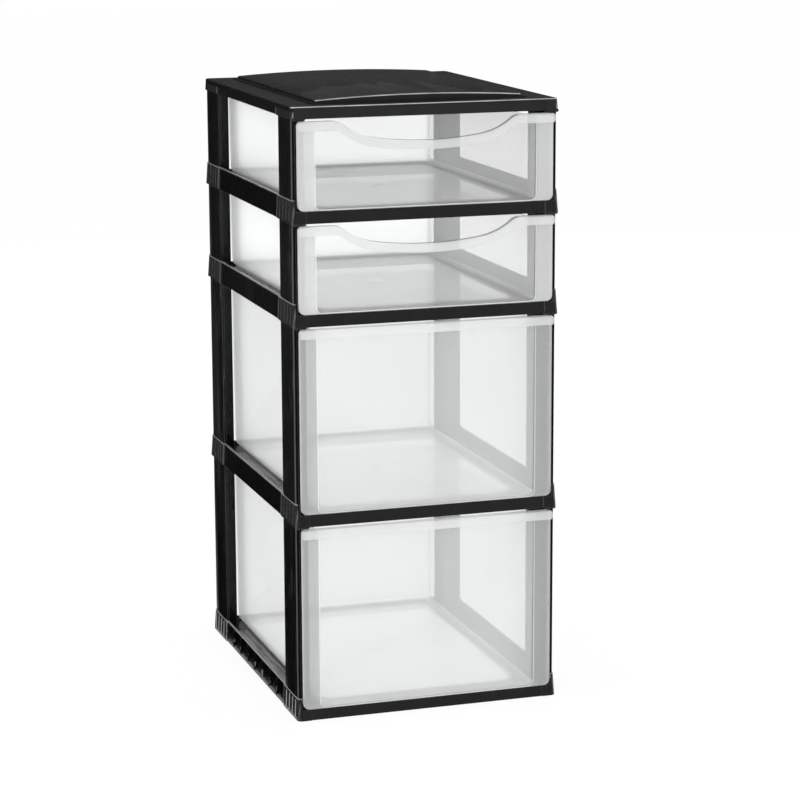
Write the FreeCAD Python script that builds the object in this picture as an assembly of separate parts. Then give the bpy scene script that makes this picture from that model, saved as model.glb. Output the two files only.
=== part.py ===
import FreeCAD, Part
import os
from math import cos, radians, sin

# Four-drawer storage tower: black moulded frames and corner posts, translucent moulded drawers.
# Millimetres, +Z up, front towards -Y. While it is being drawn, X = Y = 0 is the middle of the
# frames. Each piece is moved back by half the lip's reach when it is written, so that the origin
# is under the middle of the whole tower, lips included.

# ---- frames -------------------------------------------------------------------------------
FRAME_WIDTH = 290.0           # across the flared feet of the corner collars
FRAME_DEPTH = 368.0
SIDE_FLARE = 1.0              # how far a collar leans out from top to foot, each side
END_FLARE = 3.0               # the same at the front and at the rear
CORNER_RADIUS = 5.0           # plan radius of the collars
BASE_HEIGHT = 24.0
TIER_HEIGHT = 24.5
LARGE_BAY = 186.2             # clear height from a collar's top to the next collar's foot
SMALL_BAY = 82.0
BASE_LEDGE_TOP = 11.5         # height of the drawer ledge above the foot of the frame
TIER_LEDGE_TOP = 12.5
LEDGE_THICKNESS = 2.4
LEDGE_SUPPORT = 2.5           # side ledge under the flat of a drawer's floor
FRONT_LEDGE = 32.0            # ledge widths, from the flared foot to the ring's opening
REAR_LEDGE = 26.0
RING_CORNER = 12.0            # cut across each corner of the ring's opening
SIDE_WALL = 2.0               # collar wall outside a post, at the collar's top
END_WALL = 2.6
BAR_WALL = 2.2
COLLAR_END_WALL = 2.2         # beyond the post's inner end
COLLAR_WIDTH = 15.5           # along the front, from the flared side
COLLAR_PROUD = 1.2            # how far the collars stand out from the side bars
BAR_SETBACK = 0.8             # how far the front and rear bars stand in from the collars
COLLAR_RETURN = 5.7           # width of the collar's upper part beside the drawer front
GROOVE_WIDTH = 1.2            # fine upright grooves in the collars' side faces
GROOVE_DEPTH = 0.4
BASE_GROOVE_WIDTH = 3.0       # broader ones on the base
BASE_GROOVE_DEPTH = 0.6
GROOVE_PITCH = 12.0
GROOVE_COUNT = 4
GROOVE_LAND = 3.0             # plain border above and below each groove
LOBE_DROP = 1.8               # rounded lobe under each front collar
LOBE_CORNER = 1.2
BASE_RIB_COUNT = 7            # upright ribs with sloping flanks on the base's side bars
BASE_RIB_WIDTH = 5.0          # at the bar
BASE_RIB_LAND = 2.0           # flat along the rib's crest
BASE_RIB_PROUD = 1.0
FENCE_WALL = 1.6              # upstand behind each post's foot and head
FENCE_HEIGHT = 7.0
FENCE_START = 4.0             # from the pocket's end wall
STOP_HEIGHT = 3.5             # upstand on the rear ledge that stops the drawer
STOP_THICKNESS = 2.0
STOP_END_GAP = 4.0            # between the stop's ends and the collars
STOP_SETBACK = 4.0            # behind the stop, to the line of the pocket's rear wall

# ---- corner posts -------------------------------------------------------------------------
POST_WIDTH = 51.5             # of the web, along the side
POST_WALL = 2.8
POST_INSET = 0.2              # web's outer face behind the collar's top edge
POST_EDGE_SLOPE = 1.2         # how far the sloped strips along the web's edges turn in
POST_EDGE_STRIP = 14.0        # width of those strips
FRONT_FLANGE_SET = 27.2       # cross flange, behind the web's outer end
REAR_FLANGE_SET = 15.7
FLANGE_WALL = 2.5
FLANGE_EDGE = 22.5            # flange's free edge in from the frames' flared side
SPIGOT_WALL = 2.2             # thinner ends of the web, inside the collars
SPIGOT_LAP = 2.5              # height over which the ends run on behind the web
SOCKET_CLEARANCE = 0.2        # post to collar and fence
SHOULDER_GAP = 0.2            # web to the collars' edges

# ---- top panel ----------------------------------------------------------------------------
TOP_SKIRT = 12.5
TOP_PLATE = 2.6
RIM_ROUND = 1.2
RIM_BAND = 3.0                # plain band round the top, above the bars that stand in
PLINTH_SIDE_INSET = 28.0      # low step round the crown
PLINTH_END_INSET = 21.0
PLINTH_HEIGHT = 1.2
CROWN_STEP = 4.0              # from the plinth's edge in to the crown's wall
CROWN_SIDE_HEIGHT = 3.7       # crown above the rim at its left and right ends
CROWN_HEIGHT = 7.5            # and at mid-width
CROWN_BEVEL = 1.0

# ---- drawers ------------------------------------------------------------------------------
PANEL_SIDE_GAP = 1.3          # panel to the collar beside it
PANEL_WALL = 2.2
PANEL_FRONT = 1.5             # panel's face in from the frames' flared front
PANEL_RIM_DEPTH = 4.0         # from the panel's face to the back of its turned edge
PANEL_RIM_WALL = 1.6
PANEL_FOOT_RADIUS = 6.0
PANEL_HEAD_RADIUS = 4.0
PANEL_FOOT_GAP = 0.6          # panel above the bar under it
PANEL_HEAD_GAP = 2.5          # and below the bar over it
LIP_REACH = 3.0               # lip in front of the frames' flared front
LIP_HEIGHT = 9.5
LIP_WALL = 1.6
LIP_OVERHANG = 1.0            # beyond each side of the panel
LIP_RADIUS = 3.0
TUB_SIDE_GAP = 2.0            # tub to the posts' flanges
TUB_DRAFT = 1.0               # each wall leans in by this much from top to bottom
TUB_WALL = 1.6
TUB_FLOOR = 1.8
TUB_RADIUS = 7.0              # rear corners and foot
TUB_HEAD_DROP = 4.0           # tub's edge below the panel's
RUNNING_GAP = 0.2             # drawer to ledge and to rear stop
SCOOP_CENTRE_RADIUS = 380.0   # hand scoop in a small drawer's front: three arcs a side
SCOOP_SIDE_RADIUS = 71.0
SCOOP_SHOULDER_RADIUS = 19.5
SCOOP_CENTRE_ANGLE = 8.6      # degrees turned where the centre arc meets the side arc
SCOOP_SHOULDER_ANGLE = 38.0   # degrees turned where the side arc meets the shoulder arc

# ---- sizes that follow ----------------------------------------------------------------------
FOOT_X = FRAME_WIDTH / 2
FOOT_Y = FRAME_DEPTH / 2
HEAD_X = FOOT_X - SIDE_FLARE
HEAD_Y = FOOT_Y - END_FLARE
POCKET_X = HEAD_X - SIDE_WALL             # inner faces of the collars
POCKET_Y = HEAD_Y - END_WALL
SPIGOT_X = POCKET_X - SOCKET_CLEARANCE    # outer faces of a post's ends and of its web
WEB_X = HEAD_X - POST_INSET
POST_Y = POCKET_Y - SOCKET_CLEARANCE
FLANGE_X = FOOT_X - FLANGE_EDGE
POCKET_END_Y = POST_Y - POST_WIDTH - SOCKET_CLEARANCE
COLLAR_INNER_Y = POCKET_END_Y - COLLAR_END_WALL
COLLAR_INNER_X = FOOT_X - COLLAR_WIDTH
RETURN_INNER_X = FOOT_X - COLLAR_RETURN
PANEL_HALF_X = RETURN_INNER_X - PANEL_SIDE_GAP
TUB_HALF_X = FLANGE_X - TUB_SIDE_GAP
OPENING_X = TUB_HALF_X - TUB_DRAFT - TUB_RADIUS - LEDGE_SUPPORT
PANEL_FACE_Y = PANEL_FRONT - FOOT_Y
LIP_FACE_Y = -FOOT_Y - LIP_REACH
TUB_FRONT_Y = PANEL_FACE_Y + PANEL_WALL
STOP_FACE_Y = POCKET_Y - STOP_SETBACK - STOP_THICKNESS
ORIGIN_SHIFT = LIP_REACH / 2
PAST = 1.0                                # cutters run this far past what they cut

LOWER_Z = BASE_HEIGHT + LARGE_BAY
MIDDLE_Z = LOWER_Z + TIER_HEIGHT + LARGE_BAY
UPPER_Z = MIDDLE_Z + TIER_HEIGHT + SMALL_BAY
TOP_Z = UPPER_Z + TIER_HEIGHT + SMALL_BAY

LARGE_DRAWER = LARGE_BAY + TIER_HEIGHT - TIER_LEDGE_TOP - PANEL_FOOT_GAP - PANEL_HEAD_GAP
SMALL_DRAWER = SMALL_BAY + TIER_HEIGHT - TIER_LEDGE_TOP - PANEL_FOOT_GAP - PANEL_HEAD_GAP


def vec(x, y, z=0.0):
    return FreeCAD.Vector(x, y, z)


def arc(centre, radius, start, end):
    """Arc in the XY plane between two angles in degrees."""
    points = []
    for angle in (start, (start + end) / 2, end):
        turn = radians(angle)
        points.append(vec(centre.x + radius * cos(turn), centre.y + radius * sin(turn), centre.z))
    return Part.Arc(*points).toShape()


def joined(edges):
    """Wire through the edges in order, with straight edges across the gaps between them."""
    chain = []
    for index, edge in enumerate(edges):
        chain.append(edge)
        here = edge.lastVertex(True).Point
        there = edges[(index + 1) % len(edges)].firstVertex(True).Point
        if (there - here).Length > 1e-6:
            chain.append(Part.LineSegment(here, there).toShape())
    return Part.Wire(chain)


def cut_corner_outline(x0, x1, y0, y1, corner, z=0.0):
    return Part.makePolygon([
        vec(x0 + corner, y0, z),
        vec(x1 - corner, y0, z),
        vec(x1, y0 + corner, z),
        vec(x1, y1 - corner, z),
        vec(x1 - corner, y1, z),
        vec(x0 + corner, y1, z),
        vec(x0, y1 - corner, z),
        vec(x0, y0 + corner, z),
        vec(x0 + corner, y0, z),
    ])


def prism(wire, height):
    return Part.Face(wire).extrude(vec(0, 0, height))


def block(x0, x1, y0, y1, z0, z1):
    return Part.makeBox(x1 - x0, y1 - y0, z1 - z0, vec(x0, y0, z0))


def edges_between(shape, low, high):
    """Edges that run the whole way from one height to another."""
    return [edge for edge in shape.Edges
            if abs(edge.BoundBox.ZMin - low) < 0.01 and abs(edge.BoundBox.ZMax - high) < 0.01]


def mirrored(shapes, normal):
    """The shapes and their mirror images in the plane through the origin."""
    return shapes + [shape.mirror(vec(0, 0), normal) for shape in shapes]


def stood_up(shape):
    """Turn a shape drawn on the XY plane so that its Y is the height."""
    shape.rotate(vec(0, 0), vec(1, 0), 90)
    return shape


def tapered_block(foot, head, z0, z1):
    """Block with sloping sides; foot and head are (half width, front Y, rear Y)."""
    return stood_up(Part.makeWedge(-foot[0], z0, -foot[2], -head[2], -head[0],
                                   foot[0], z1, -foot[1], -head[1], head[0]))


# ---- frames -------------------------------------------------------------------------------
def flared_block(height):
    """Outer body of a frame: every frame has the same slope, and the same size at its head."""
    spread = height / TIER_HEIGHT
    foot_y = HEAD_Y + END_FLARE * spread
    foot = (HEAD_X + SIDE_FLARE * spread, -foot_y, foot_y)
    body = tapered_block(foot, (HEAD_X, -HEAD_Y, HEAD_Y), 0.0, height)
    return body.makeFillet(CORNER_RADIUS, edges_between(body, 0.0, height))


def pockets(z0, z1):
    """Hollow inside the skin, wider at the corners where the posts stand."""
    bar_x = HEAD_X - COLLAR_PROUD - BAR_WALL
    wide = block(-POCKET_X, POCKET_X, -POCKET_Y, POCKET_Y, z0, z1)
    for side in (-1, 1):
        edge = sorted((side * bar_x, side * FOOT_X))
        wide = wide.cut(block(edge[0], edge[1], -POCKET_END_Y, POCKET_END_Y, z0, z1))
    return wide


def post_fences(z0, z1):
    """Two low walls behind each of the four posts' ends, one on each side of its cross flange."""
    x1 = SPIGOT_X - SPIGOT_WALL - SOCKET_CLEARANCE
    x0 = x1 - FENCE_WALL
    fences = []
    for flange_set, end in ((FRONT_FLANGE_SET, -1), (REAR_FLANGE_SET, 1)):
        outer = POST_Y - flange_set + SOCKET_CLEARANCE
        inner = POST_Y - flange_set - FLANGE_WALL - SOCKET_CLEARANCE
        for near, far in ((inner, POCKET_END_Y), (POCKET_Y - FENCE_START, outer)):
            y0, y1 = sorted((end * near, end * far))
            fences.append(block(x0, x1, y0, y1, z0, z1))
    return mirrored(fences, vec(1, 0))


def collar_grooves(height, width, depth):
    """Upright grooves across the collars' side faces."""
    cutters = []
    first = COLLAR_INNER_Y + GROOVE_PITCH - width / 2
    lean = SIDE_FLARE / TIER_HEIGHT
    for number in range(GROOVE_COUNT):
        y = first + number * GROOVE_PITCH
        foot_x = HEAD_X + lean * (height - GROOVE_LAND) - depth
        head_x = HEAD_X + lean * GROOVE_LAND - depth
        outline = Part.makePolygon([
            vec(foot_x, y, GROOVE_LAND),
            vec(FOOT_X + PAST, y, GROOVE_LAND),
            vec(FOOT_X + PAST, y, height - GROOVE_LAND),
            vec(head_x, y, height - GROOVE_LAND),
            vec(foot_x, y, GROOVE_LAND),
        ])
        cutters.append(Part.Face(outline).extrude(vec(0, width)))
    cutters = mirrored(cutters, vec(1, 0))
    return mirrored(cutters, vec(0, 1))


def bar_recesses(height, recess_head):
    """What is cut away so that the side, front and rear bars stand in from the collars."""
    cutters = []
    lean = SIDE_FLARE / TIER_HEIGHT
    end_lean = END_FLARE / TIER_HEIGHT
    side_foot = HEAD_X + lean * height - COLLAR_PROUD
    side_head = HEAD_X + lean * (height - recess_head) - COLLAR_PROUD
    end_foot = HEAD_Y + end_lean * height - BAR_SETBACK
    end_head = HEAD_Y + end_lean * (height - recess_head) - BAR_SETBACK
    for sign in (-1, 1):
        outline = Part.makePolygon([
            vec(sign * side_foot, -COLLAR_INNER_Y, 0),
            vec(sign * (FOOT_X + PAST), -COLLAR_INNER_Y, 0),
            vec(sign * (FOOT_X + PAST), -COLLAR_INNER_Y, recess_head),
            vec(sign * side_head, -COLLAR_INNER_Y, recess_head),
            vec(sign * side_foot, -COLLAR_INNER_Y, 0),
        ])
        cutters.append(Part.Face(outline).extrude(vec(0, 2 * COLLAR_INNER_Y)))
        outline = Part.makePolygon([
            vec(-COLLAR_INNER_X, sign * end_foot, 0),
            vec(-COLLAR_INNER_X, sign * (FOOT_Y + PAST), 0),
            vec(-COLLAR_INNER_X, sign * (FOOT_Y + PAST), recess_head),
            vec(-COLLAR_INNER_X, sign * end_head, recess_head),
            vec(-COLLAR_INNER_X, sign * end_foot, 0),
        ])
        cutters.append(Part.Face(outline).extrude(vec(2 * COLLAR_INNER_X, 0)))
    return Part.makeCompound(cutters)


def front_lobes():
    """Rounded lobes that hang under the front collars, beside the drawer's shoulders."""
    outline = cut_corner_outline(COLLAR_INNER_X, FOOT_X - SIDE_FLARE, -LOBE_DROP, LOBE_DROP, LOBE_CORNER)
    lobe = stood_up(prism(outline, FOOT_Y - END_FLARE / 2 - POCKET_Y))
    lobe.translate(vec(0, -POCKET_Y))
    return mirrored([lobe], vec(1, 0))


def base_ribs(height):
    """Upright ribs on the side bars of the base, inside the collars' outline."""
    lean = SIDE_FLARE / TIER_HEIGHT
    bar_x = HEAD_X + lean * (height - GROOVE_LAND) - COLLAR_PROUD
    rise = height - 2 * GROOVE_LAND
    pitch = 2 * COLLAR_INNER_Y / (BASE_RIB_COUNT + 1)
    ribs = []
    for number in range(BASE_RIB_COUNT):
        y = -COLLAR_INNER_Y + (number + 1) * pitch
        outline = Part.makePolygon([
            vec(bar_x - BAR_WALL / 2, y - BASE_RIB_WIDTH / 2, GROOVE_LAND),
            vec(bar_x, y - BASE_RIB_WIDTH / 2, GROOVE_LAND),
            vec(bar_x + BASE_RIB_PROUD, y - BASE_RIB_LAND / 2, GROOVE_LAND),
            vec(bar_x + BASE_RIB_PROUD, y + BASE_RIB_LAND / 2, GROOVE_LAND),
            vec(bar_x, y + BASE_RIB_WIDTH / 2, GROOVE_LAND),
            vec(bar_x - BAR_WALL / 2, y + BASE_RIB_WIDTH / 2, GROOVE_LAND),
            vec(bar_x - BAR_WALL / 2, y - BASE_RIB_WIDTH / 2, GROOVE_LAND),
        ])
        ribs.append(Part.Face(outline).extrude(vec(-lean * rise, 0, rise)))
    return mirrored(ribs, vec(1, 0))


def ring_frame(height, ledge_top, groove_width, groove_depth):
    """One moulded ring: skirt, drawer ledge, low front and rear bars, and four corner collars."""
    ledge_foot = ledge_top - LEDGE_THICKNESS
    frame = flared_block(height).cut(bar_recesses(height, height))
    # hollows above and below the ledge, the ring's opening, and the way in for the drawer
    frame = frame.cut(pockets(ledge_top, height + PAST))
    frame = frame.cut(pockets(-PAST, ledge_foot))
    opening = cut_corner_outline(-OPENING_X, OPENING_X,
                                 FRONT_LEDGE - FOOT_Y, FOOT_Y - REAR_LEDGE, RING_CORNER)
    frame = frame.cut(prism(opening, height))
    frame = frame.cut(block(-RETURN_INNER_X, RETURN_INNER_X, -FOOT_Y - PAST, -POCKET_Y + PAST,
                            ledge_top, height + PAST))
    frame = frame.cut(block(-COLLAR_INNER_X, COLLAR_INNER_X, POCKET_Y - PAST, FOOT_Y + PAST,
                            ledge_top, height + PAST))
    frame = frame.cut(Part.makeCompound(collar_grooves(height, groove_width, groove_depth)))
    # fences for the posts above, and the stop behind the drawer
    stop_x = COLLAR_INNER_X - STOP_END_GAP
    stop = block(-stop_x, stop_x, STOP_FACE_Y, STOP_FACE_Y + STOP_THICKNESS,
                 ledge_top, ledge_top + STOP_HEIGHT)
    return frame.multiFuse(post_fences(ledge_top, ledge_top + FENCE_HEIGHT) + [stop])


def base_frame():
    frame = ring_frame(BASE_HEIGHT, BASE_LEDGE_TOP, BASE_GROOVE_WIDTH, BASE_GROOVE_DEPTH)
    return frame.multiFuse(base_ribs(BASE_HEIGHT))


def tier_frame():
    frame = ring_frame(TIER_HEIGHT, TIER_LEDGE_TOP, GROOVE_WIDTH, GROOVE_DEPTH)
    ledge_foot = TIER_LEDGE_TOP - LEDGE_THICKNESS
    return frame.multiFuse(post_fences(ledge_foot - FENCE_HEIGHT, ledge_foot) + front_lobes())


# ---- corner posts -------------------------------------------------------------------------
def post(foot_depth, bay, head_depth, flange_set):
    """Front right post: a web with two sloped edges, a cross flange, and thinner ends to plug in."""
    height = foot_depth + bay + head_depth
    web_foot = foot_depth + SHOULDER_GAP
    web_head = foot_depth + bay - SHOULDER_GAP
    y0 = -POST_Y
    y1 = POST_WIDTH - POST_Y
    outer = [
        vec(WEB_X - POST_EDGE_SLOPE, y0, web_foot),
        vec(WEB_X, y0 + POST_EDGE_STRIP, web_foot),
        vec(WEB_X, y1 - POST_EDGE_STRIP, web_foot),
        vec(WEB_X - POST_EDGE_SLOPE, y1, web_foot),
    ]
    inner = [point - vec(POST_WALL, 0) for point in reversed(outer)]
    web = prism(Part.makePolygon(outer + inner + outer[:1]), web_head - web_foot)
    flange_y = flange_set - POST_Y
    flange_end = (SPIGOT_X + WEB_X - POST_WALL) / 2
    flange = block(FLANGE_X, flange_end, flange_y, flange_y + FLANGE_WALL, 0, height)
    spigot_back = SPIGOT_X - SPIGOT_WALL
    foot = block(spigot_back, SPIGOT_X, y0, y1, 0, web_foot + SPIGOT_LAP)
    head = block(spigot_back, SPIGOT_X, y0, y1, web_head - SPIGOT_LAP, height)
    return web.multiFuse([flange, foot, head]).removeSplitter()


# ---- top panel ----------------------------------------------------------------------------
def crown_form(inset, foot, bevel):
    """Raised middle of the top, arched across the width, drawn with the rim's face at z = 0."""
    half_x = HEAD_X - PLINTH_SIDE_INSET - CROWN_STEP - inset
    half_y = HEAD_Y - PLINTH_END_INSET - CROWN_STEP - inset
    rise = CROWN_HEIGHT - CROWN_SIDE_HEIGHT
    radius = (half_x ** 2 + rise ** 2) / (2 * rise)
    shoulder = CROWN_SIDE_HEIGHT - inset - bevel
    sides = Part.makePolygon([
        vec(-half_x, foot),
        vec(half_x, foot),
        vec(half_x, shoulder),
        vec(half_x - CROWN_HEIGHT, shoulder + CROWN_HEIGHT),
        vec(-half_x + CROWN_HEIGHT, shoulder + CROWN_HEIGHT),
        vec(-half_x, shoulder),
        vec(-half_x, foot),
    ])
    body = stood_up(prism(sides, 2 * half_y))
    body.translate(vec(0, half_y))
    low = vec(0, -half_y, CROWN_HEIGHT - inset - radius)
    along = vec(0, 1)
    arch = Part.makeCylinder(radius, 2 * (half_y - bevel), low + along * bevel, along)
    if bevel > 0:
        front = Part.makeCone(radius - bevel, radius, bevel, low, along)
        rear = Part.makeCone(radius, radius - bevel, bevel, low + along * (2 * half_y - bevel), along)
        arch = arch.multiFuse([front, rear])
    return body.common(arch)


def top_panel():
    panel = flared_block(TOP_SKIRT)
    panel = panel.makeFillet(RIM_ROUND, edges_between(panel, TOP_SKIRT, TOP_SKIRT))
    panel = panel.cut(bar_recesses(TOP_SKIRT, TOP_SKIRT - RIM_BAND))
    panel = panel.cut(pockets(-PAST, TOP_SKIRT - TOP_PLATE))
    panel = panel.cut(Part.makeCompound(collar_grooves(TOP_SKIRT, GROOVE_WIDTH, GROOVE_DEPTH)))
    plinth_x = HEAD_X - PLINTH_SIDE_INSET
    plinth_y = HEAD_Y - PLINTH_END_INSET
    plinth = block(-plinth_x, plinth_x, -plinth_y, plinth_y,
                   TOP_SKIRT - TOP_PLATE / 2, TOP_SKIRT + PLINTH_HEIGHT)
    crown = crown_form(0.0, -TOP_PLATE / 2, CROWN_BEVEL)
    hollow = crown_form(TOP_PLATE, -TOP_PLATE - PAST, 0.0)
    for piece in (crown, hollow):
        piece.translate(vec(0, 0, TOP_SKIRT))
    panel = panel.fuse(plinth).fuse(crown).cut(hollow)
    plate_foot = TOP_SKIRT - TOP_PLATE
    return panel.multiFuse(post_fences(plate_foot - FENCE_HEIGHT, plate_foot) + front_lobes())


# ---- drawers ------------------------------------------------------------------------------
def scoop_edges(height):
    """Top edge of a small drawer's front from left to right: shoulder, side and centre arcs."""
    shoulder = SCOOP_SHOULDER_ANGLE
    middle = SCOOP_CENTRE_ANGLE
    turn = radians(shoulder)
    ease = radians(middle)
    half_width = (SCOOP_SHOULDER_RADIUS * sin(turn) + SCOOP_SIDE_RADIUS * (sin(turn) - sin(ease))
                  + SCOOP_CENTRE_RADIUS * sin(ease))
    depth = (SCOOP_SHOULDER_RADIUS * (1 - cos(turn)) + SCOOP_SIDE_RADIUS * (cos(ease) - cos(turn))
             + SCOOP_CENTRE_RADIUS * (1 - cos(ease)))
    bottom = height - depth
    centre = vec(0, bottom + SCOOP_CENTRE_RADIUS)
    side_shift = SCOOP_CENTRE_RADIUS - SCOOP_SIDE_RADIUS
    side_x = side_shift * sin(ease)
    side_y = centre.y - side_shift * cos(ease)
    crest_y = height - SCOOP_SHOULDER_RADIUS
    return [
        arc(vec(-half_width, crest_y), SCOOP_SHOULDER_RADIUS, 90, 90 - shoulder),
        arc(vec(-side_x, side_y), SCOOP_SIDE_RADIUS, 270 - shoulder, 270 - middle),
        arc(centre, SCOOP_CENTRE_RADIUS, 270 - middle, 270 + middle),
        arc(vec(side_x, side_y), SCOOP_SIDE_RADIUS, 270 + middle, 270 + shoulder),
        arc(vec(half_width, crest_y), SCOOP_SHOULDER_RADIUS, 90 + shoulder, 90),
    ]


def straight_edges(height):
    return []


def front_outline(half_x, foot, head, foot_radius, head_radius, top_edges):
    """Outline of a drawer front, with its height along Y."""
    edges = [
        arc(vec(-half_x + foot_radius, foot + foot_radius), foot_radius, 270, 180),
        arc(vec(-half_x + head_radius, head - head_radius), head_radius, 180, 90),
    ]
    edges += top_edges(head)
    edges += [
        arc(vec(half_x - head_radius, head - head_radius), head_radius, 90, 0),
        arc(vec(half_x - foot_radius, foot + foot_radius), foot_radius, 0, -90),
    ]
    return joined(edges)


def band(half_x, head, drop, radius, top_edges):
    """Strip of even height under the top edge of a drawer front; its corners may be round."""
    foot = head - drop
    if radius:
        left = [
            arc(vec(-half_x + radius, foot + radius), radius, 270, 180),
            arc(vec(-half_x + radius, head - radius), radius, 180, 90),
        ]
        right = [
            arc(vec(half_x - radius, head - radius), radius, 90, 0),
            arc(vec(half_x - radius, foot + radius), radius, 0, -90),
        ]
    else:
        left = [Part.LineSegment(vec(-half_x, foot), vec(-half_x, head)).toShape()]
        right = [Part.LineSegment(vec(half_x, head), vec(half_x, foot)).toShape()]
    lower = []
    for edge in reversed(top_edges(foot)):
        half_way = edge.valueAt((edge.FirstParameter + edge.LastParameter) / 2)
        lower.append(Part.Arc(edge.lastVertex(True).Point, half_way, edge.firstVertex(True).Point).toShape())
    return joined(left + top_edges(head) + right + lower)


def forward(wire, front_y, back_y):
    """Solid from an upright outline, between two depths."""
    solid = stood_up(prism(wire, back_y - front_y))
    solid.translate(vec(0, back_y))
    return solid


def lip(head, top_edges):
    """Rolled lip: a top web and a front skin that turns down, open from below."""
    half_x = PANEL_HALF_X + LIP_OVERHANG
    body = forward(band(half_x, head, LIP_HEIGHT, LIP_RADIUS, top_edges), LIP_FACE_Y, PANEL_FACE_Y)
    hollow = forward(band(half_x - LIP_WALL, head - LIP_WALL, LIP_HEIGHT, 0.0, top_edges),
                     LIP_FACE_Y + LIP_WALL, PANEL_FACE_Y)
    return body.cut(hollow)


def tub_solid(inset, foot, head, front_y):
    """Tub's outer or inner form: drafted walls, round rear corners, round foot."""
    half_x = TUB_HALF_X - inset
    rear_y = STOP_FACE_Y - RUNNING_GAP - inset
    body = tapered_block((half_x - TUB_DRAFT, front_y, rear_y - TUB_DRAFT), (half_x, front_y, rear_y),
                         foot, head)
    corners = [edge for edge in edges_between(body, foot, head) if edge.BoundBox.YMin > 0]
    foot_edges = [edge for edge in edges_between(body, foot, foot) if edge.BoundBox.YMax > 0]
    return body.makeFillet(TUB_RADIUS - inset, corners + foot_edges)


def drawer(height, top_edges):
    """One-piece drawer, drawn with the ledge it runs on at z = 0."""
    foot = PANEL_FOOT_GAP
    head = foot + height
    half_x = PANEL_HALF_X
    outline = front_outline(half_x, foot, head, PANEL_FOOT_RADIUS, PANEL_HEAD_RADIUS, top_edges)
    inner = front_outline(half_x - PANEL_RIM_WALL, foot + PANEL_RIM_WALL, head - PANEL_RIM_WALL,
                          PANEL_FOOT_RADIUS - PANEL_RIM_WALL, PANEL_HEAD_RADIUS - PANEL_RIM_WALL, top_edges)
    front = forward(outline, PANEL_FACE_Y, PANEL_FACE_Y + PANEL_RIM_DEPTH)
    front = front.cut(forward(inner, PANEL_FACE_Y + PANEL_WALL, PANEL_FACE_Y + PANEL_RIM_DEPTH + PAST))
    tub_head = head - TUB_HEAD_DROP
    tub = tub_solid(0.0, RUNNING_GAP, tub_head, PANEL_FACE_Y + PANEL_WALL / 2)
    inside = tub_solid(TUB_WALL, RUNNING_GAP + TUB_FLOOR, tub_head + PAST, TUB_FRONT_Y)
    tub = tub.cut(inside)
    over_scoop = forward(outline, PANEL_FACE_Y, TUB_FRONT_Y)
    tub_front = block(-half_x, half_x, PANEL_FACE_Y, TUB_FRONT_Y, 0, head + PAST)
    tub = tub.cut(tub_front.cut(over_scoop))
    return front.fuse(tub).cut(inside).fuse(lip(head, top_edges)).removeSplitter()


# ---- the tower ------------------------------------------------------------------------------
def write(name, shape, z):
    """Move a piece to its place and save it as one STEP file."""
    placed = shape.copy()
    placed.translate(vec(0, ORIGIN_SHIFT, z))
    placed.Solids[0].exportStep("parts/" + name + ".step")


def write_posts(bay_name, foot, foot_depth, bay, head_depth):
    """Four posts of one bay, each standing on a ledge and reaching the ledge or plate above."""
    front = post(foot_depth, bay, head_depth, FRONT_FLANGE_SET)
    rear = post(foot_depth, bay, head_depth, REAR_FLANGE_SET).mirror(vec(0, 0), vec(0, 1))
    for row, right in (("_front", front), ("_rear", rear)):
        write("post_" + bay_name + row + "_right", right, foot)
        write("post_" + bay_name + row + "_left", right.mirror(vec(0, 0), vec(1, 0)), foot)


os.makedirs("parts", exist_ok=True)

write("base_frame", base_frame(), 0.0)
tier = tier_frame()
write("lower_tier_frame", tier, LOWER_Z)
write("middle_tier_frame", tier, MIDDLE_Z)
write("upper_tier_frame", tier, UPPER_Z)
write("top_panel", top_panel(), TOP_Z)

base_depth = BASE_HEIGHT - BASE_LEDGE_TOP
tier_depth = TIER_HEIGHT - TIER_LEDGE_TOP
under_depth = TIER_LEDGE_TOP - LEDGE_THICKNESS
plate_depth = TOP_SKIRT - TOP_PLATE
write_posts("bottom_bay", BASE_LEDGE_TOP, base_depth, LARGE_BAY, under_depth)
write_posts("lower_bay", LOWER_Z + TIER_LEDGE_TOP, tier_depth, LARGE_BAY, under_depth)
write_posts("upper_bay", MIDDLE_Z + TIER_LEDGE_TOP, tier_depth, SMALL_BAY, under_depth)
write_posts("top_bay", UPPER_Z + TIER_LEDGE_TOP, tier_depth, SMALL_BAY, plate_depth)

large_drawer = drawer(LARGE_DRAWER, straight_edges)
small_drawer = drawer(SMALL_DRAWER, scoop_edges)
write("drawer_bottom_bay", large_drawer, BASE_LEDGE_TOP)
write("drawer_lower_bay", large_drawer, LOWER_Z + TIER_LEDGE_TOP)
write("drawer_upper_bay", small_drawer, MIDDLE_Z + TIER_LEDGE_TOP)
write("drawer_top_bay", small_drawer, UPPER_Z + TIER_LEDGE_TOP)
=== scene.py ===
from math import pi, radians

import bmesh
import bpy
from mathutils import Matrix, Vector


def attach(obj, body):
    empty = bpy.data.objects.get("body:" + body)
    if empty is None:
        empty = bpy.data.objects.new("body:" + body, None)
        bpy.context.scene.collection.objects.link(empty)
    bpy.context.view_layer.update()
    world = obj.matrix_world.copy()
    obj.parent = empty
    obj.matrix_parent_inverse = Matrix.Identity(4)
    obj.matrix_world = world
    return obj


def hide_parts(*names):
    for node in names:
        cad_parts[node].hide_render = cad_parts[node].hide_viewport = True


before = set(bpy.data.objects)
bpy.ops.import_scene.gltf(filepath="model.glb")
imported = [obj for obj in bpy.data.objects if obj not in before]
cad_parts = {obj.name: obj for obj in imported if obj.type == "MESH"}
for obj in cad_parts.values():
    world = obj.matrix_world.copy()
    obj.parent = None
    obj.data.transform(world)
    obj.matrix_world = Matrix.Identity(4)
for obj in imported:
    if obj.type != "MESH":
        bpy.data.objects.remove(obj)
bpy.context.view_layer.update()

scene = bpy.context.scene
scene.view_settings.view_transform = "Standard"
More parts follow.
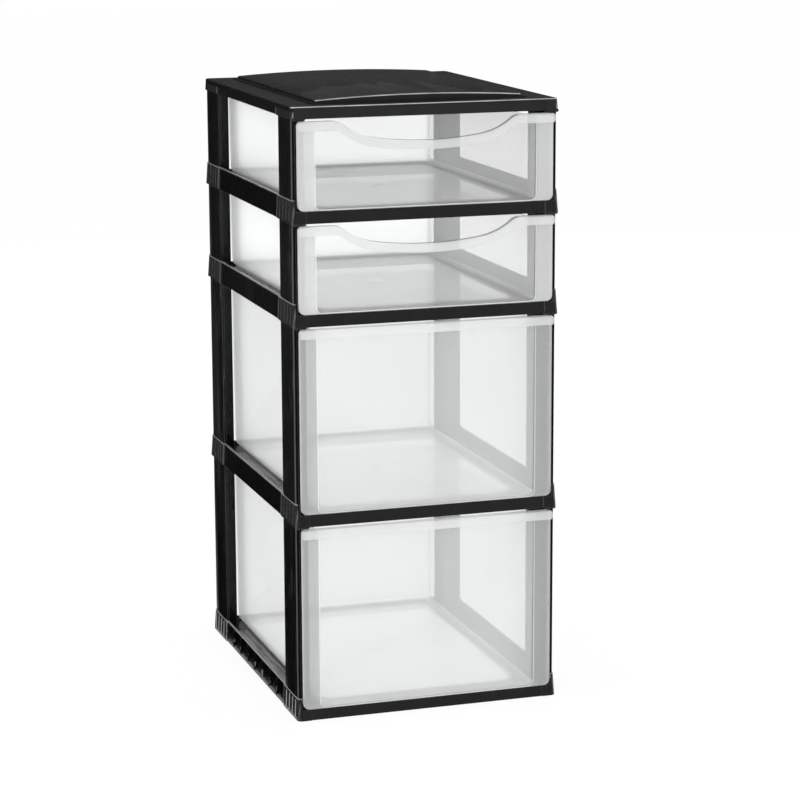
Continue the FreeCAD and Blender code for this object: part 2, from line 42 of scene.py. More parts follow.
scene.cycles.transparent_max_bounces = 48   # the view goes through many clear walls

LARGE_DRAWERS = ["drawer_bottom_bay", "drawer_lower_bay"]
DRAWERS = LARGE_DRAWERS + ["drawer_upper_bay", "drawer_top_bay"]
RINGS = ["base_frame", "lower_tier_frame", "middle_tier_frame", "upper_tier_frame"]
POSTS = sorted(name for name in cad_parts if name.startswith("post_"))

# ---- marks on the frames, in metres from the frames' middle --------------------------------------
MIDDLE_Y = 0.0015         # the frames' middle, behind the whole tower's by half of the lips' reach
COLLAR_Y = 0.1243         # inner edges of the corner collars' side faces
CORNER_Y = 0.1815         # where a collar turns to the front or the rear
BEAD_Y = 0.1765           # the posts' outer corners
SHELF_X = 0.1200          # the ledges that the drawers run on lie beyond this
SIDE_FACE_X = 0.1415      # and so do the side faces beyond this
RIB_TOP_Z = 0.0215        # top of the base's ribs
GLINT_Z = 0.0125          # and how high the painted glints on them reach
RING_TOP = (0.94, 0.97)   # share of a ring's height where the painted highlight line along its head starts
SKIRT_TOP = 0.42          # share of the top's height that its skirt takes up
LEVEL = 0.9               # a face whose normal has more than this along an axis lies square to it

# ---- marks on the drawers ------------------------------------------------------------------------
DRAWER_WIDTH = 0.278
SMALL_PANEL = 0.0913      # heights of the drawers' fronts
LARGE_PANEL = 0.1955
WALL_LINE_X = 0.1197      # middle of the tub's wall and floor, and the radius where they turn
WALL_LINE_Z = 0.0011
WALL_LINE_RADIUS = 0.0062
GATE_RADIUS = 0.010       # round mark in the middle of the floor
GATE_FADE = 0.003
FACE_Y = -0.1812          # the front panel's face
RIM_BACK_Y = -0.1768      # back of the panel's turned edge
PANEL_BACK_Y = -0.178     # and of the panel's own wall
FLOOR_RISE = 0.009        # faces this low above the drawer's foot belong to its floor
HEAD_DROP = 0.0004        # the rim's flat top lies no further than this below the drawer's head
BACK_Y = 0.168            # faces behind this belong to the rear wall
LIP_SLOPE = 0.3           # the normals along the lip's upper line rise more than this


# ---- materials -----------------------------------------------------------------------------------
class Nodes:
    """Small helper around one material's node tree."""

    def __init__(self, name):
        self.material = bpy.data.materials.new(name)
        self.material.use_nodes = True
        self.tree = self.material.node_tree
        self.shader = self.tree.nodes["Principled BSDF"]
        self.output = self.tree.nodes["Material Output"]
        self.place = self.add("ShaderNodeTexCoord").outputs["Object"]

    def add(self, kind, **values):
        node = self.tree.nodes.new(kind)
        for key, value in values.items():
            setattr(node, key, value)
        return node

    def link(self, source, target):
        self.tree.links.new(source, target)

    def noise(self, scale, detail=3.0, rough=0.55, stretch=None):
        node = self.add("ShaderNodeTexNoise")
        node.inputs["Scale"].default_value = scale
        node.inputs["Detail"].default_value = detail
        node.inputs["Roughness"].default_value = rough
        place = self.place
        if stretch:
            mapping = self.add("ShaderNodeMapping")
            mapping.inputs["Scale"].default_value = stretch
            self.link(place, mapping.inputs["Vector"])
            place = mapping.outputs["Vector"]
        self.link(place, node.inputs["Vector"])
        return node.outputs["Fac"]

    def ramp(self, source, low, high, start=0.3, end=0.7):
        """A colour that turns from low to high while the source goes from start to end."""
        node = self.add("ShaderNodeValToRGB")
        first, last = node.color_ramp.elements
        first.position, first.color = start, (*low, 1.0)
        last.position, last.color = end, (*high, 1.0)
        self.link(source, node.inputs["Fac"])
        return node.outputs["Color"]

    def span(self, source, low, high, start=0.3, end=0.7):
        """The same for a number."""
        node = self.add("ShaderNodeMapRange")
        node.inputs["From Min"].default_value = start
        node.inputs["From Max"].default_value = end
        node.inputs["To Min"].default_value = low
        node.inputs["To Max"].default_value = high
        self.link(source, node.inputs["Value"])
        return node.outputs["Result"]

    def math(self, operation, first, second=None, third=None):
        node = self.add("ShaderNodeMath", operation=operation)
        for socket, value in zip(node.inputs, (first, second, third)):
            if isinstance(value, (int, float)):
                socket.default_value = value
            elif value is not None:
                self.link(value, socket)
        return node.outputs["Value"]

    def size(self, value):
        return self.math("ABSOLUTE", value)

    def both(self, first, second):
        return self.math("MULTIPLY", first, second)

    def either(self, first, second):
        return self.math("MAXIMUM", first, second)

    def above(self, value, limit):
        return self.math("GREATER_THAN", value, limit)

    def below(self, value, limit):
        return self.math("LESS_THAN", value, limit)

    def near(self, value, mark, reach):
        """1 within reach of a mark, fading out over half as much again."""
        return self.span(self.size(self.math("SUBTRACT", value, mark)), 1.0, 0.0, reach, reach * 1.5)

    def length(self, first, second):
        return self.math("SQRT", self.math("ADD", self.both(first, first), self.both(second, second)))

    def apart(self, vector):
        node = self.add("ShaderNodeSeparateXYZ")
        self.link(vector, node.inputs["Vector"])
        return node.outputs["X"], node.outputs["Y"], node.outputs["Z"]

    def generated(self):
        """Place in the piece's own box, from 0 to 1 along each axis."""
        return self.apart(self.add("ShaderNodeTexCoord").outputs["Generated"])

    def frame_place(self):
        """Distance to the side and to the front or rear of the frames' middle, and the height."""
        x, y, z = self.apart(self.place)
        return self.size(x), self.size(self.math("SUBTRACT", y, MIDDLE_Y)), z

    def blend(self, share, low, high):
        """One colour turning into another; either may be a socket or three numbers."""
        node = self.add("ShaderNodeMix", data_type="RGBA")
        self.link(share, node.inputs["Factor"])
        for socket, value in ((node.inputs[6], low), (node.inputs[7], high)):
            if isinstance(value, tuple):
                socket.default_value = (*value, 1.0)
            else:
                self.link(value, socket)
        return node.outputs[2]

    def bump(self, height, strength, distance, under=None):
        node = self.add("ShaderNodeBump")
        node.inputs["Strength"].default_value = strength
        node.inputs["Distance"].default_value = distance
        self.link(height, node.inputs["Height"])
        if under:
            self.link(under, node.inputs["Normal"])
        return node.outputs["Normal"]


BLACK = ((0.004, 0.004, 0.0042), (0.007, 0.007, 0.0074))
# painted shade: a darker black for the posts' front end faces in the gap beside the drawer fronts
GAP_SHADE = ((0.001, 0.001, 0.001), (0.002, 0.002, 0.002))
TOP_BLACK = ((0.007, 0.007, 0.0073), (0.010, 0.010, 0.0105))
# painted highlight: pale colour on the rings' bevels, standing in for the light they catch
RING_EDGE_HIGHLIGHT = ((0.34, 0.34, 0.345), (0.50, 0.50, 0.505))
# painted highlight: paler colour on the posts' bevels
POST_EDGE_HIGHLIGHT = ((0.04, 0.04, 0.041), (0.09, 0.09, 0.091))
# painted highlights: a bright line on the top's crown bevel and a faint one on its rounded rim
CROWN_HIGHLIGHT = ((0.28, 0.28, 0.285), (0.52, 0.52, 0.525))
RIM_HIGHLIGHT = ((0.008, 0.008, 0.0082), (0.016, 0.016, 0.0163))

# painted shade: the rings' outer side faces a darker black than the rest
SIDE_SHADE = (0.0022, 0.0022, 0.0023)
# painted sheen: the collars of the rings and the top paler than the bars, for the light they catch
RING_COLLAR_SHEEN = (0.021, 0.021, 0.0215)
TOP_COLLAR_SHEEN = (0.020, 0.020, 0.0205)
# painted highlight lines on collars and ring heads, and the painted reflection streaks on the ledges
PAINTED_SHEEN = (0.20, 0.20, 0.203)
# the black that the painted highlight falls back to between the glints and on the base's front
DULL_EDGE = (0.010, 0.010, 0.0102)
# painted reflection: faint streaks on the posts' webs
REFLECTED_STREAK = (0.045, 0.045, 0.046)
# painted highlight up the posts' rounded outer corners
BEAD_HIGHLIGHT = (0.075, 0.075, 0.0765)

# noises: scale, detail, roughness, stretch along each axis
TINT_DRIFT = (38.0, 4.0)
GLOSS_DRIFT = (30.0, 4.0, 0.6, (1.0, 1.0, 0.25))
SINK_WAVES = (17.0, 1.0, 0.5, (1.0, 1.0, 0.35))
FINE_GRAIN = (900.0, 2.0)
LEDGE_STREAKS = (260.0, 2.0, 0.6, (1.0, 0.06, 1.0))
POST_STREAKS = (330.0, 2.0, 0.6, (1.0, 1.0, 0.07))
POST_PATCHES = (11.0, 1.0)
RIB_GLINTS = (170.0, 2.0)
# breaks up the painted highlight lines unevenly
LINE_BREAKUP = (60.0, 2.0)

SINK_DEPTH = 0.0008       # of the waves and the grain, in metres
GRAIN_DEPTH = 0.0001
EDGE_LINE_INSET = 0.0007  # a collar's upright painted highlight line runs this far inside its edge
LINE_REACH = 0.0005       # half of a pale line's width: the painted highlight lines, and the drawers' hazy line round the U
# half width of the painted highlight on the posts' beads
BEAD_REACH = 0.0017
CORNER_SHARE = 0.4        # the painted highlight line where a ring's collar turns the corner is fainter


def black_plastic(name, tints, gloss, specular, detail=None, grain=0.02, wave=0.45):
    """Moulded black: slow colour drift, uneven gloss, faint sink waves and a fine grain."""
    n = Nodes(name)
    tint = n.ramp(n.noise(*TINT_DRIFT), *tints)
    if detail:
        tint = detail(n, tint)
    n.link(tint, n.shader.inputs["Base Color"])
    n.link(n.span(n.noise(*GLOSS_DRIFT), *gloss), n.shader.inputs["Roughness"])
    n.shader.inputs["Specular IOR Level"].default_value = specular
    waves = n.bump(n.noise(*SINK_WAVES), wave, SINK_DEPTH)
    n.link(n.bump(n.noise(*FINE_GRAIN), grain, GRAIN_DEPTH, waves), n.shader.inputs["Normal"])
    return n.material


def ring_detail(n, tint):
    """Painted shade on the side bars, a painted sheen on the collars with painted highlight lines
    along their edges, a streaky painted reflection on the ledges and a painted highlight line along
    the ring's head."""
    across, along, _ = n.frame_place()
    outside = n.above(across, SIDE_FACE_X)
    tint = n.blend(outside, tint, SIDE_SHADE)
    tint = n.blend(n.both(n.above(along, COLLAR_Y), outside), tint, RING_COLLAR_SHEEN)

    facing = n.apart(n.add("ShaderNodeNewGeometry").outputs["True Normal"])[2]
    ledge = n.both(n.above(facing, LEVEL), n.above(across, SHELF_X))
    streaks = n.span(n.noise(*LEDGE_STREAKS), 0.2, 1.0, 0.35, 0.65)
    ledge_sheen = n.both(n.both(ledge, streaks), n.below(along, COLLAR_Y))
    tint = n.blend(ledge_sheen, tint, PAINTED_SHEEN)

    upright = n.either(n.near(along, COLLAR_Y + EDGE_LINE_INSET, LINE_REACH),
                       n.both(n.near(along, CORNER_Y, LINE_REACH), CORNER_SHARE))
    head = n.span(n.generated()[2], 0.0, 1.0, *RING_TOP)
    line = n.either(n.both(upright, outside), n.both(head, outside))
    return n.blend(n.both(line, n.span(n.noise(*LINE_BREAKUP), 0.55, 1.0)), tint, PAINTED_SHEEN)


def edge_detail(n, tint):
    """Painted highlight along every edge, but on the base's ribs only painted glints near the floor,
    and none on the base's front.
    """
    across, along, z = n.frame_place()
    base = n.below(z, RIB_TOP_Z)
    rib = n.both(n.both(base, n.below(along, COLLAR_Y)), n.above(across, SIDE_FACE_X))
    glint = n.both(n.span(n.noise(*RIB_GLINTS), 0.0, 1.0, 0.48, 0.56), n.below(z, GLINT_Z))
    front = n.both(base, n.above(along, CORNER_Y))
    dull = n.either(n.both(rib, n.math("SUBTRACT", 1.0, glint)), front)
    return n.blend(dull, tint, DULL_EDGE)


def top_detail(n, tint):
    """The top's skirt has the same painted sheen on its collars as the rings, with painted highlight
    lines along their edges.
    """
    across, along, _ = n.frame_place()
    skirt = n.both(n.above(across, SIDE_FACE_X), n.below(n.generated()[2], SKIRT_TOP))
    tint = n.blend(n.both(skirt, n.above(along, COLLAR_Y)), tint, TOP_COLLAR_SHEEN)
    upright = n.either(n.near(along, COLLAR_Y + EDGE_LINE_INSET, LINE_REACH),
                       n.near(along, CORNER_Y, LINE_REACH))
    return n.blend(n.both(upright, skirt), tint, PAINTED_SHEEN)


def post_detail(n, tint):
    """Faint painted reflection streaks in patches, and a painted highlight up the rounded bead at each
    outer corner.
    """
    _, along, _ = n.frame_place()
    streak = n.span(n.noise(*POST_STREAKS), 0.0, 1.0, 0.60, 0.70)
    patch = n.span(n.noise(*POST_PATCHES), 0.0, 1.0, 0.48, 0.58)
    tint = n.blend(n.both(streak, patch), tint, REFLECTED_STREAK)
    return n.blend(n.near(along, BEAD_Y, BEAD_REACH), tint, BEAD_HIGHLIGHT)


ring_black = black_plastic("ring_black", BLACK, (0.16, 0.30), 0.18, ring_detail, grain=0.0)
post_black = black_plastic("post_black", BLACK, (0.10, 0.22), 0.24, post_detail)
# painted shade for the posts' front end faces
gap_shade_black = black_plastic("gap_shade_black", GAP_SHADE, (0.30, 0.40), 0.04)
top_black = black_plastic("top_black", TOP_BLACK, (0.24, 0.28), 0.20, top_detail, grain=0.0, wave=0.09)
# The edge finishes below are painted highlights: pale colour on the bevels of the rings, posts and
# top.
ring_edge_highlight = black_plastic("ring_edge_highlight", RING_EDGE_HIGHLIGHT, (0.20, 0.30), 0.50, edge_detail)
post_edge_highlight = black_plastic("post_edge_highlight", POST_EDGE_HIGHLIGHT, (0.20, 0.30), 0.40)
crown_highlight = black_plastic("crown_highlight", CROWN_HIGHLIGHT, (0.15, 0.25), 0.50, grain=0.0, wave=0.1)
rim_highlight = black_plastic("rim_highlight", RIM_HIGHLIGHT, (0.50, 0.60), 0.05, grain=0.0, wave=0.1)

PALE = ((0.91, 0.915, 0.917), (0.95, 0.955, 0.957))
BRIGHT = ((0.95, 0.955, 0.957), (0.975, 0.98, 0.982))
SOFT_GREY = ((0.79, 0.80, 0.803), (0.84, 0.85, 0.853))

HAZE_DRIFT = (5.0, 2.0)   # noises: scale, detail
FROST_DRIFT = (24.0, 3.0)
IOR = 1.49
MATTE = (0.30, 0.45)      # roughness, least and most
DULL = (0.25, 0.40)
FROSTED = (0.22, 0.36)
SMOOTH = (0.18, 0.30)
SATIN = (0.12, 0.20)
LINE_SHARE = 0.62         # how hazy the line round the U looks, and the gate mark
GATE_SHARE = 0.86
BORDER_FADE = (0.0006, 0.0014)    # the border's painted shade and haze set in over this distance outside the U


def panel_haze(n, tint, look):
    """How hazy the front panel looks: clear inside the U where the tub meets it, hazier round that U
    with painted shade greying it, where the posts' dark flanges stand close behind, and whitest along
    it, over the wall and the floor."""
    x, _, z = n.generated()
    across = n.both(n.size(n.math("SUBTRACT", x, 0.5)), DRAWER_WIDTH)
    side = n.either(n.math("SUBTRACT", across, WALL_LINE_X - WALL_LINE_RADIUS), 0.0)
    down = n.either(n.math("MULTIPLY_ADD", z, -look["height"], WALL_LINE_Z + WALL_LINE_RADIUS), 0.0)
    off = n.math("SUBTRACT", n.length(side, down), WALL_LINE_RADIUS)
    outside = n.span(off, 0.0, 1.0, *BORDER_FADE)
    line = n.both(n.near(off, 0.0, LINE_REACH), LINE_SHARE)
    share = n.either(n.span(outside, look["panel"], look["border"], 0.0, 1.0), line)
    return share, n.blend(outside, tint, look["border_shade_tint"])


def floor_haze(n, tint, look):
    """The floor is evenly hazy, but for the shallow round mark that the gate leaves in its middle."""
    x, y, _ = n.apart(n.place)
    mark = n.span(n.length(x, y), 1.0, 0.0, GATE_RADIUS - GATE_FADE, GATE_RADIUS)
    return n.span(mark, look["floor"], GATE_SHARE, 0.0, 1.0), tint


def clear_plastic(name, look, tints, haze, through, gloss, specular):
    """Frosted moulding: part clear, part haze, and some of the haze is light from behind the wall.
    The haze is a share, or a function that works out a share and a tint for each place."""
    n = Nodes(name)
    tint = n.ramp(n.noise(*HAZE_DRIFT), *tints)
    wall = n.add("ShaderNodeMixShader")
    if callable(haze):
        share, tint = haze(n, tint, look)
        n.link(share, wall.inputs["Fac"])
    else:
        wall.inputs["Fac"].default_value = haze
    n.link(tint, n.shader.inputs["Base Color"])
    n.link(n.span(n.noise(*FROST_DRIFT), *gloss), n.shader.inputs["Roughness"])
    n.shader.inputs["IOR"].default_value = IOR
    n.shader.inputs["Specular IOR Level"].default_value = specular
    glow = n.add("ShaderNodeBsdfTranslucent")
    n.link(tint, glow.inputs["Color"])
    body = n.add("ShaderNodeMixShader")
    body.inputs["Fac"].default_value = through
    n.link(n.shader.outputs["BSDF"], body.inputs[1])
    n.link(glow.outputs["BSDF"], body.inputs[2])
    clear = n.add("ShaderNodeBsdfTransparent")
    n.link(clear.outputs["BSDF"], wall.inputs[1])
    n.link(body.outputs["Shader"], wall.inputs[2])
    n.link(wall.outputs["Shader"], n.output.inputs["Surface"])
    return n.material


# Shares of haze, and after them shares of that haze that are light from behind.
# The tints differ by size, not by plastic: the small drawers' whiter tints are painted light for their
# shaded bays, and the large drawers' greyer tints are painted shade for their brighter bays.
SMALL_LOOK = {
    "height": SMALL_PANEL, "panel": 0.05, "border": 0.55, "side": 0.36, "back": 0.80, "floor": 0.58,
    "side_through": 0.10, "back_through": 0.52, "floor_through": 0.46,
    "floor_gloss": SATIN, "floor_specular": 0.5,
    "panel_tints": PALE, "wall_tints": BRIGHT, "floor_tints": BRIGHT,
    "border_shade_tint": (0.80, 0.81, 0.813), "line_tints": ((0.36, 0.37, 0.373), (0.44, 0.45, 0.453)),
}
LARGE_LOOK = {
    "height": LARGE_PANEL, "panel": 0.26, "border": 0.50, "side": 0.30, "back": 0.56, "floor": 0.60,
    "side_through": 0.30, "back_through": 0.50, "floor_through": 0.40,
    "floor_gloss": MATTE, "floor_specular": 0.2,
    "panel_tints": SOFT_GREY, "wall_tints": SOFT_GREY, "floor_tints": PALE,
    "border_shade_tint": (0.57, 0.58, 0.583), "line_tints": ((0.66, 0.67, 0.673), (0.72, 0.73, 0.733)),
}


def clear_set(size, look):
    """The finishes of one drawer: its parts differ in how much haze the eye looks through."""
    walls = look["wall_tints"]
    parts = {   # tints, haze, share of the haze that is light from behind, roughness, specular
        "panel": (look["panel_tints"], panel_haze, 0.20, FROSTED, 0.3),
        "side": (walls, look["side"], look["side_through"], MATTE, 0.0),
        "back": (walls, look["back"], look["back_through"], MATTE, 0.0),
        "floor": (look["floor_tints"], floor_haze, look["floor_through"],
                  look["floor_gloss"], look["floor_specular"]),
        "lip": (SOFT_GREY, 0.50, 0.30, SMOOTH, 0.3),
        "rim": (PALE, 0.60, 0.30, SMOOTH, 0.3),
        "line": (look["line_tints"], 0.85, 0.20, DULL, 0.3),
    }
    return {part: clear_plastic(size + "_" + part, look, *finish) for part, finish in parts.items()}


SMALL = clear_set("small", SMALL_LOOK)
LARGE = clear_set("large", LARGE_LOOK)


# ---- edges and sorted copies ---------------------------------------------------------------------
WELD = 0.00002            # points this close together are one
SHARP = radians(32)       # edges that turn more than this are softened


def soften(piece, width, edge_material):
    """Small moulded radius on every sharp edge, in a finish of its own."""
    edge = piece.modifiers.new("edges", "BEVEL")
    edge.width = width
    edge.segments = 2
    edge.limit_method = "ANGLE"
    edge.angle_limit = SHARP
    edge.harden_normals = True
    edge.use_clamp_overlap = True
    edge.material = edge_material


def sorted_copy(name, finishes, sort):
    """The node's moulding again, with a finish for each face, to stand for the node."""
    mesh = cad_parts[name].data.copy()
    mesh.name = name + "_moulding"
    mesh.materials.clear()
    kinds = list(finishes)
    for kind in kinds:
        mesh.materials.append(finishes[kind])
    form = bmesh.new()
    form.from_mesh(mesh)
    bmesh.ops.remove_doubles(form, verts=form.verts, dist=WELD)
    heights = [vert.co.z for vert in form.verts]
    foot, head = min(heights), max(heights)
    for face in form.faces:
        face.material_index = kinds.index(sort(face.calc_center_median(), face.normal, foot, head))
    form.to_mesh(mesh)
    form.free()
    piece = bpy.data.objects.new(name + "_moulding", mesh)
    scene.collection.objects.link(piece)
    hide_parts(name)
    return piece


# ---- frames, posts and top -----------------------------------------------------------------------
RING_EDGE_WIDTH = 0.0007
POST_EDGE_WIDTH = 0.0005
FINE_EDGE_WIDTH = 0.0004  # on the top and the drawers
RIM_RISE = 0.0095         # the top's rounded rim starts this high above its foot
POST_FRONT_Y = -0.17      # end faces in front of this are the front posts'
POST_END = 0.8            # and their normals have more than this along Y
CROWN_RISE = (0.2, 0.97)  # the normals of the top's bevels rise between these
CROWN_LEAN = -0.3         # and those of its front bevel lean further forward than this


def dress_ring(name):
    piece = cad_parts[name]
    piece.data.materials.clear()
    piece.data.materials.append(ring_black)
    piece.data.materials.append(ring_edge_highlight)
    weld = piece.modifiers.new("weld", "WELD")
    weld.merge_threshold = WELD
    soften(piece, RING_EDGE_WIDTH, 1)


def sort_post(centre, normal, foot, head):
    """The narrow end face at the front lies in the dark gap beside the drawer front, so it gets
    painted shade: a darker black.
    """
    return "gap" if abs(normal.y) > POST_END and centre.y < POST_FRONT_Y else "plain"


def dress_post(name):
    piece = sorted_copy(name, {"plain": post_black, "gap": gap_shade_black, "edge": post_edge_highlight}, sort_post)
    soften(piece, POST_EDGE_WIDTH, 2)
    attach(piece, "frame")


def sort_top(centre, normal, foot, head):
    """The crown's bevel along the front gets a painted highlight, and the rounded rim a fainter one.
    """
    if not CROWN_RISE[0] < normal.z < CROWN_RISE[1] or centre.z < foot + RIM_RISE:
        return "plain"
    return "crown" if normal.y < CROWN_LEAN else "rim"


def dress_top():
    finishes = {"plain": top_black, "crown": crown_highlight, "rim": rim_highlight}
    piece = sorted_copy("top_panel", finishes, sort_top)
    soften(piece, FINE_EDGE_WIDTH, 2)
    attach(piece, "frame")


for name in RINGS:
    dress_ring(name)
for name in POSTS:
    dress_post(name)
dress_top()


# ---- drawers -------------------------------------------------------------------------------------
def sort_drawer(centre, normal, foot, head):
    """Which part of the moulding a face belongs to."""
    if normal.z > LIP_SLOPE and centre.y < RIM_BACK_Y and centre.z > foot + FLOOR_RISE:
        return "line" if centre.z < head - HEAD_DROP else "rim"
    if centre.y < FACE_Y:
        return "lip"
    if centre.y < RIM_BACK_Y:
        return "panel" if abs(normal.y) > LEVEL and centre.y < PANEL_BACK_Y else "rim"
    if centre.z < foot + FLOOR_RISE:
        return "floor"
    if normal.z > LEVEL:
        return "rim"
    return "back" if centre.y > BACK_Y else "side"


for name in DRAWERS:
    finishes = LARGE if name in LARGE_DRAWERS else SMALL
    piece = sorted_copy(name, finishes, sort_drawer)
    soften(piece, FINE_EDGE_WIDTH, list(finishes).index("rim"))
    piece.visible_shadow = False
    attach(piece, name + "_body")


# ---- floor, light and camera ---------------------------------------------------------------------
WHITE = (1.0, 1.0, 1.0, 1.0)
FLOOR_TINT = (0.90, 0.90, 0.90, 1.0)
FLOOR_WIDTH = 24.0
FLOOR_SHARE = 0.88        # share of the floor's look that is plain white, over the shaded rest
FLOOR_GLOW = 1.02
WORLD_LIGHT = 0.91        # the world's strength as a light; it is seen at 1
GROUND = 0.001            # cards stand this high above the floor
AIM = (0.0, 0.0, 0.3)     # where most lamps point


def bare_tree(owner):
    owner.use_nodes = True
    owner.node_tree.nodes.clear()
    return owner.node_tree


def light_path_mask(tree):
    """1 for rays that show the background: camera, glossy and transmission rays."""
    path = tree.nodes.new("ShaderNodeLightPath")
    total = path.outputs["Is Camera Ray"]
    for name in ("Is Glossy Ray", "Is Transmission Ray"):
        node = tree.nodes.new("ShaderNodeMath")
        node.operation = "MAXIMUM"
        tree.links.new(total, node.inputs[0])
        tree.links.new(path.outputs[name], node.inputs[1])
        total = node.outputs["Value"]
    return total


def glowing(tree, kind, strength):
    """Plain white light of one strength, from an emission or a background node."""
    node = tree.nodes.new(kind)
    node.inputs["Color"].default_value = WHITE
    node.inputs["Strength"].default_value = strength
    return node


def white_floor():
    """Floor that looks white and still takes the object's shadow."""
    bpy.ops.mesh.primitive_plane_add(size=FLOOR_WIDTH, location=(0.0, 0.0, 0.0))
    floor = bpy.context.object
    floor.name = "floor"
    material = bpy.data.materials.new("floor_white")
    tree = bare_tree(material)
    output = tree.nodes.new("ShaderNodeOutputMaterial")
    plain = tree.nodes.new("ShaderNodeBsdfDiffuse")
    plain.inputs["Color"].default_value = FLOOR_TINT
    glow = glowing(tree, "ShaderNodeEmission", FLOOR_GLOW)
    share = tree.nodes.new("ShaderNodeMath")
    share.operation = "MULTIPLY"
    share.inputs[1].default_value = FLOOR_SHARE
    tree.links.new(light_path_mask(tree), share.inputs[0])
    mix = tree.nodes.new("ShaderNodeMixShader")
    tree.links.new(share.outputs["Value"], mix.inputs["Fac"])
    tree.links.new(plain.outputs["BSDF"], mix.inputs[1])
    tree.links.new(glow.outputs["Emission"], mix.inputs[2])
    tree.links.new(mix.outputs["Shader"], output.inputs["Surface"])
    floor.data.materials.append(material)


def studio_world():
    """White where it is seen, and a little less as a light."""
    world = bpy.data.worlds.new("studio")
    scene.world = world
    tree = bare_tree(world)
    output = tree.nodes.new("ShaderNodeOutputWorld")
    seen = glowing(tree, "ShaderNodeBackground", 1.0)
    light = glowing(tree, "ShaderNodeBackground", WORLD_LIGHT)
    mix = tree.nodes.new("ShaderNodeMixShader")
    tree.links.new(light_path_mask(tree), mix.inputs["Fac"])
    tree.links.new(light.outputs["Background"], mix.inputs[1])
    tree.links.new(seen.outputs["Background"], mix.inputs[2])
    tree.links.new(mix.outputs["Shader"], output.inputs["Surface"])


def softbox(name, place, aim, width, height, power, shines=True):
    """Area lamp; one that doesn't shine is left out of reflections."""
    data = bpy.data.lights.new(name, "AREA")
    data.shape = "RECTANGLE"
    data.size = width
    data.size_y = height
    data.energy = power
    lamp = bpy.data.objects.new(name, data)
    scene.collection.objects.link(lamp)
    lamp.location = place
    lamp.rotation_euler = (Vector(aim) - Vector(place)).to_track_quat("-Z", "Y").to_euler()
    lamp.visible_glossy = shines


SLIT_SCALE = 42.0         # of the noise that the slits come from
SLIT_STRETCH = 0.05
SLIT_SPAN = (0.60, 0.72)  # part of that noise over which a slit turns bright


def streaked(tree, low, high):
    """Strength of a card with a few bright upright slits in it."""
    place = tree.nodes.new("ShaderNodeTexCoord")
    across = tree.nodes.new("ShaderNodeMapping")
    across.inputs["Scale"].default_value = (1.0, 1.0, SLIT_STRETCH)
    slits = tree.nodes.new("ShaderNodeTexNoise")
    slits.inputs["Scale"].default_value = SLIT_SCALE
    slits.inputs["Detail"].default_value = 1.0
    bright = tree.nodes.new("ShaderNodeMapRange")
    bright.inputs["From Min"].default_value = SLIT_SPAN[0]
    bright.inputs["From Max"].default_value = SLIT_SPAN[1]
    bright.inputs["To Min"].default_value = low
    bright.inputs["To Max"].default_value = high
    tree.links.new(place.outputs["Object"], across.inputs["Vector"])
    tree.links.new(across.outputs["Vector"], slits.inputs["Vector"])
    tree.links.new(slits.outputs["Fac"], bright.inputs["Value"])
    return bright.outputs["Result"]


def card(name, corners, grey, streak=0.0):
    """Studio card that only reflections see. It gives the glossy black its dark and light sides."""
    mesh = bpy.data.meshes.new(name)
    mesh.from_pydata(corners, [], [(0, 1, 2, 3)])
    piece = bpy.data.objects.new(name, mesh)
    scene.collection.objects.link(piece)
    material = bpy.data.materials.new(name)
    tree = bare_tree(material)
    output = tree.nodes.new("ShaderNodeOutputMaterial")
    glow = glowing(tree, "ShaderNodeEmission", grey)
    if streak:
        tree.links.new(streaked(tree, grey, streak), glow.inputs["Strength"])
    tree.links.new(glow.outputs["Emission"], output.inputs["Surface"])
    mesh.materials.append(material)
    for ray in ("camera", "diffuse", "transmission", "volume_scatter", "shadow"):
        setattr(piece, "visible_" + ray, False)


def upright_card(name, start, end, foot, head, grey, streak=0.0):
    """Upright card between two points on the floor plan."""
    corners = [(*start, foot), (*end, foot), (*end, head), (*start, head)]
    card(name, corners, grey, streak)


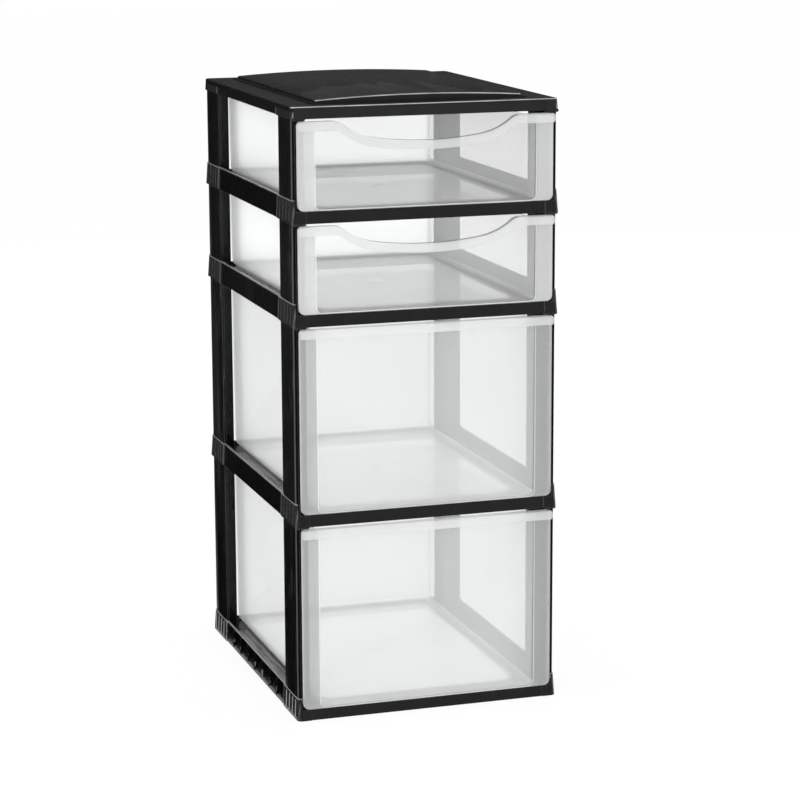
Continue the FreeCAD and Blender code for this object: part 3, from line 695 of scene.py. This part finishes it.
PICTURE_WIDTH = 800.0     # pixels that the focal length was measured in
FOCAL_LENGTH = 2675.5
SENSOR_WIDTH = 36.0
CAMERA_PLACE = (-0.86263, -2.77642, 0.90599)
CAMERA_PAN, CAMERA_TILT, CAMERA_ROLL = -17.778, -11.761, -0.255    # degrees
VIEW_DEPTH = 60.0


def photo_camera():
    """The photo's own camera, as fitted to the corners of the frame."""
    data = bpy.data.cameras.new("camera")
    data.sensor_width = SENSOR_WIDTH
    data.lens = FOCAL_LENGTH / PICTURE_WIDTH * SENSOR_WIDTH
    data.clip_end = VIEW_DEPTH
    camera = bpy.data.objects.new("camera", data)
    scene.collection.objects.link(camera)
    camera.location = CAMERA_PLACE
    turn = (Matrix.Rotation(radians(CAMERA_PAN), 3, "Z")
            @ Matrix.Rotation(pi / 2 + radians(CAMERA_TILT), 3, "X")
            @ Matrix.Rotation(radians(CAMERA_ROLL), 3, "Z"))
    camera.rotation_euler = turn.to_euler()
    scene.camera = camera


# Points of the cards on the floor plan, and the heights where they end.
REAR_LEFT, REAR_RIGHT = (-0.62, 0.62), (1.20, 0.62)
SIDE_LEFT, FRONT_LEFT = (-0.95, -0.10), (-0.30, -1.30)
BESIDE = ((-0.62, -0.45), (-0.147, -0.45), (-0.147, 0.62), (-0.62, 0.62))
BEHIND_TOP, ABOVE_TOP, LEFT_TOP = 0.66, 1.30, 0.95

white_floor()
studio_world()
softbox("key", (-1.3, -2.7, 0.66), (0.0, 0.0, 0.33), 1.6, 1.1, 21.5)
softbox("left", (-2.8, -0.4, 0.9), AIM, 1.6, 1.6, 14.5, False)
softbox("fill", (1.9, -2.1, 1.0), AIM, 1.4, 1.4, 3.2)
softbox("back", (0.6, 2.6, 1.5), AIM, 2.0, 1.6, 25.5)
upright_card("card_behind", REAR_LEFT, REAR_RIGHT, GROUND, BEHIND_TOP, 0.01, 0.35)
upright_card("card_above", REAR_LEFT, REAR_RIGHT, BEHIND_TOP, ABOVE_TOP, 0.04)
card("card_floor", [(*corner, GROUND) for corner in BESIDE], 0.0)
upright_card("card_left", REAR_LEFT, SIDE_LEFT, GROUND, LEFT_TOP, 0.13)
upright_card("card_front_left", SIDE_LEFT, FRONT_LEFT, GROUND, LEFT_TOP, 0.0)
photo_camera()
